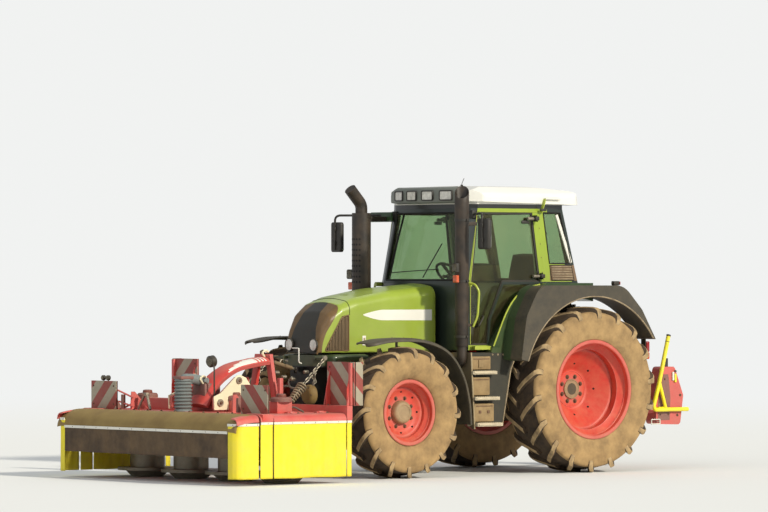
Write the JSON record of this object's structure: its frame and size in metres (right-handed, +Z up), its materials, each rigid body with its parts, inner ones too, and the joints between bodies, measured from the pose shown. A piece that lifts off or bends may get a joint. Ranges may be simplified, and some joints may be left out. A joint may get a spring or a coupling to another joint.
{
  "type": "farm tractor with front mower",
  "caption": "Cab tractor with big treaded wheels, steered front axle, lifting front mower with folding guards, and a rear linkage with a tube hoop.",
  "frame": {"origin": "on the ground, under the middle of the whole machine's box", "axes": "-Y forward, +X to the machine's left, +Z up"},
  "size_m": [2.98, 6.63, 2.9473],
  "materials": {
    "body_green": "gloss",
    "roof_white": "gloss",
    "lamp_grey": "satin",
    "mask_black": "satin",
    "fender_black": "matt",
    "rim_red": "satin",
    "tyre": "matt",
    "chassis_grey": "painted",
    "pipe_dark": "matt",
    "step_grey": "matt",
    "tank_tan": "matt",
    "glass": "clear",
    "dash_dark": "matt",
    "seat_cloth": "woven",
    "mower_red": "satin",
    "cream": "satin",
    "cover_grey": "matt",
    "curtain_yellow": "matt",
    "steel": "worn",
    "hoop_yellow": "satin"
  },
  "bodies": {
    "chassis": {"front_frame": "chassis_grey", "engine_block": "chassis_grey", "gearbox_housing": "chassis_grey", "rear_axle": "chassis_grey", "front_axle": "chassis_grey", "cab_frame": "body_green", "cab_tub": "dash_dark", "cab_windows": "glass", "cab_roof": "roof_white", "lamp_bar": "lamp_grey", "dashboard": "dash_dark", "driver_seat": "seat_cloth", "inner_fenders": "body_green", "rear_fenders": "fender_black", "side_steps": "step_grey", "side_tanks": "tank_tan", "air_intake_pipe": "pipe_dark", "exhaust_pipe": "pipe_dark", "mirrors": "pipe_dark"},
    "wheel_rear_left": {"rear_rim_left": "rim_red", "rear_tyre_left": "tyre"},
    "wheel_rear_right": {"rear_rim_right": "rim_red", "rear_tyre_right": "tyre"},
    "knuckle_left": {"knuckle_left": "chassis_grey", "front_fender_left": "fender_black"},
    "knuckle_right": {"knuckle_right": "chassis_grey", "front_fender_right": "fender_black"},
    "wheel_front_left": {"front_rim_left": "rim_red", "front_tyre_left": "tyre"},
    "wheel_front_right": {"front_rim_right": "rim_red", "front_tyre_right": "tyre"},
    "tie_rod": {"tie_rod": "chassis_grey"},
    "door_left": {"door_left": "body_green"},
    "door_right": {"door_right": "body_green"},
    "bonnet": {"bonnet": "body_green", "nose_mask": "mask_black", "side_grilles": "mask_black"},
    "front_lift": {"front_lift_arms": "chassis_grey"},
    "front_top_link": {"front_top_link": "steel"},
    "relief_springs": {"relief_springs": "steel"},
    "mower": {"mower_headstock": "mower_red", "arch_cover": "mower_red", "drive_cover": "cover_grey", "mower_deck": "mower_red"},
    "side_guard_left": {"side_guard_left": "curtain_yellow"},
    "side_guard_right": {"side_guard_right": "curtain_yellow"},
    "front_guard": {"front_guard": "mower_red"},
    "drum_1": {"mowing_drum_1": "steel"},
    "drum_2": {"mowing_drum_2": "steel"},
    "drum_3": {"mowing_drum_3": "steel"},
    "drum_4": {"mowing_drum_4": "steel"},
    "rear_lift": {"rear_lower_links": "chassis_grey"},
    "rear_top_link": {"rear_top_link": "steel"},
    "rear_carrier": {"rear_headstock": "mower_red", "rear_hoop": "hoop_yellow"}
  },
  "joints": [
    {"name": "rear_left_spin", "type": "hinge", "parent": "chassis", "child": "wheel_rear_left", "pos_m": [0.84, 1.605, 0.85], "axis": [1, 0, 0], "continuous": true},
    {"name": "rear_right_spin", "type": "hinge", "parent": "chassis", "child": "wheel_rear_right", "pos_m": [-0.84, 1.605, 0.85], "axis": [1, 0, 0], "continuous": true},
    {"name": "steer_left", "type": "hinge", "parent": "chassis", "child": "knuckle_left", "pos_m": [0.7, -0.812, 0.655], "axis": [0, 0, 1], "range_deg": [-40, 40]},
    {"name": "steer_right", "type": "hinge", "parent": "chassis", "child": "knuckle_right", "pos_m": [-0.7, -0.812, 0.655], "axis": [0, 0, 1], "range_deg": [-40, 40]},
    {"name": "front_left_spin", "type": "hinge", "parent": "knuckle_left", "child": "wheel_front_left", "pos_m": [0.88, -0.812, 0.655], "axis": [1, 0, 0], "continuous": true},
    {"name": "front_right_spin", "type": "hinge", "parent": "knuckle_right", "child": "wheel_front_right", "pos_m": [-0.88, -0.812, 0.655], "axis": [1, 0, 0], "continuous": true},
    {"name": "tie_rod_shift", "type": "slide", "parent": "chassis", "child": "tie_rod", "axis": [1, 0, 0], "range_m": [-0.097, 0.097]},
    {"name": "door_left_swing", "type": "hinge", "parent": "chassis", "child": "door_left", "pos_m": [0.748, 1.20138, 2.01], "axis": [0, -0.1302, 0.9915], "range_deg": [0, 70]},
    {"name": "door_right_swing", "type": "hinge", "parent": "chassis", "child": "door_right", "pos_m": [-0.748, 1.20138, 2.01], "axis": [0, 0.1302, -0.9915], "range_deg": [0, 70]},
    {"name": "bonnet_lift", "type": "hinge", "parent": "chassis", "child": "bonnet", "pos_m": [0, 0.045, 1.85], "axis": [-1, 0, 0], "range_deg": [0, 50]},
    {"name": "front_lift_raise", "type": "hinge", "parent": "chassis", "child": "front_lift", "pos_m": [0.31, -1.455, 0.5], "axis": [-1, 0, 0], "range_deg": [0, 45]},
    {"name": "front_top_link_swing", "type": "hinge", "parent": "chassis", "child": "front_top_link", "pos_m": [0, -1.405, 1.07], "axis": [-1, 0, 0], "range_deg": [0, 45]},
    {"name": "relief_spring_swing", "type": "hinge", "parent": "chassis", "child": "relief_springs", "pos_m": [0.44, -1.405, 1.195], "axis": [-1, 0, 0], "range_deg": [0, 45]},
    {"name": "mower_level", "type": "hinge", "parent": "front_lift", "child": "mower", "pos_m": [0.31, -1.835, 0.6], "axis": [-1, 0, 0], "range_deg": [-45, 0]},
    {"name": "side_guard_left_fold", "type": "hinge", "parent": "mower", "child": "side_guard_left", "pos_m": [1.2, -2.395, 0.684], "axis": [0, -1, 0], "range_deg": [0, 90]},
    {"name": "side_guard_right_fold", "type": "hinge", "parent": "mower", "child": "side_guard_right", "pos_m": [-1.2, -2.395, 0.684], "axis": [0, 1, 0], "range_deg": [0, 90]},
    {"name": "front_guard_fold", "type": "hinge", "parent": "mower", "child": "front_guard", "pos_m": [0, -3.019, 0.67], "axis": [-1, 0, 0], "range_deg": [0, 80]},
    {"name": "drum_1_spin", "type": "hinge", "parent": "mower", "child": "drum_1", "pos_m": [-1.095, -2.465, 0.3], "axis": [0, 0, 1], "continuous": true},
    {"name": "drum_2_spin", "type": "hinge", "parent": "mower", "child": "drum_2", "pos_m": [-0.365, -2.465, 0.3], "axis": [0, 0, 1], "continuous": true},
    {"name": "drum_3_spin", "type": "hinge", "parent": "mower", "child": "drum_3", "pos_m": [0.365, -2.465, 0.3], "axis": [0, 0, 1], "continuous": true},
    {"name": "drum_4_spin", "type": "hinge", "parent": "mower", "child": "drum_4", "pos_m": [1.095, -2.465, 0.3], "axis": [0, 0, 1], "continuous": true},
    {"name": "rear_lift_raise", "type": "hinge", "parent": "chassis", "child": "rear_lift", "pos_m": [0.4, 1.915, 0.55], "axis": [1, 0, 0], "range_deg": [-25, 25]},
    {"name": "rear_top_link_swing", "type": "hinge", "parent": "chassis", "child": "rear_top_link", "pos_m": [0, 1.915, 1.06], "axis": [1, 0, 0], "range_deg": [-25, 25]},
    {"name": "rear_carrier_level", "type": "hinge", "parent": "rear_lift", "child": "rear_carrier", "pos_m": [0.4, 2.735, 0.62], "axis": [1, 0, 0], "range_deg": [-25, 25]}
  ],
  "couplings": [
    {"joint": "steer_right", "follows": "steer_left", "ratio": 1},
    {"joint": "tie_rod_shift", "follows": "steer_left", "m_per_rad": -0.138},
    {"joint": "front_top_link_swing", "follows": "front_lift_raise", "ratio": 1},
    {"joint": "relief_spring_swing", "follows": "front_lift_raise", "ratio": 1},
    {"joint": "mower_level", "follows": "front_lift_raise", "ratio": -1},
    {"joint": "drum_2_spin", "follows": "drum_1_spin", "ratio": -1},
    {"joint": "drum_3_spin", "follows": "drum_1_spin", "ratio": 1},
    {"joint": "drum_4_spin", "follows": "drum_1_spin", "ratio": -1},
    {"joint": "rear_top_link_swing", "follows": "rear_lift_raise", "ratio": 1},
    {"joint": "rear_carrier_level", "follows": "rear_lift_raise", "ratio": -1}
  ]
}
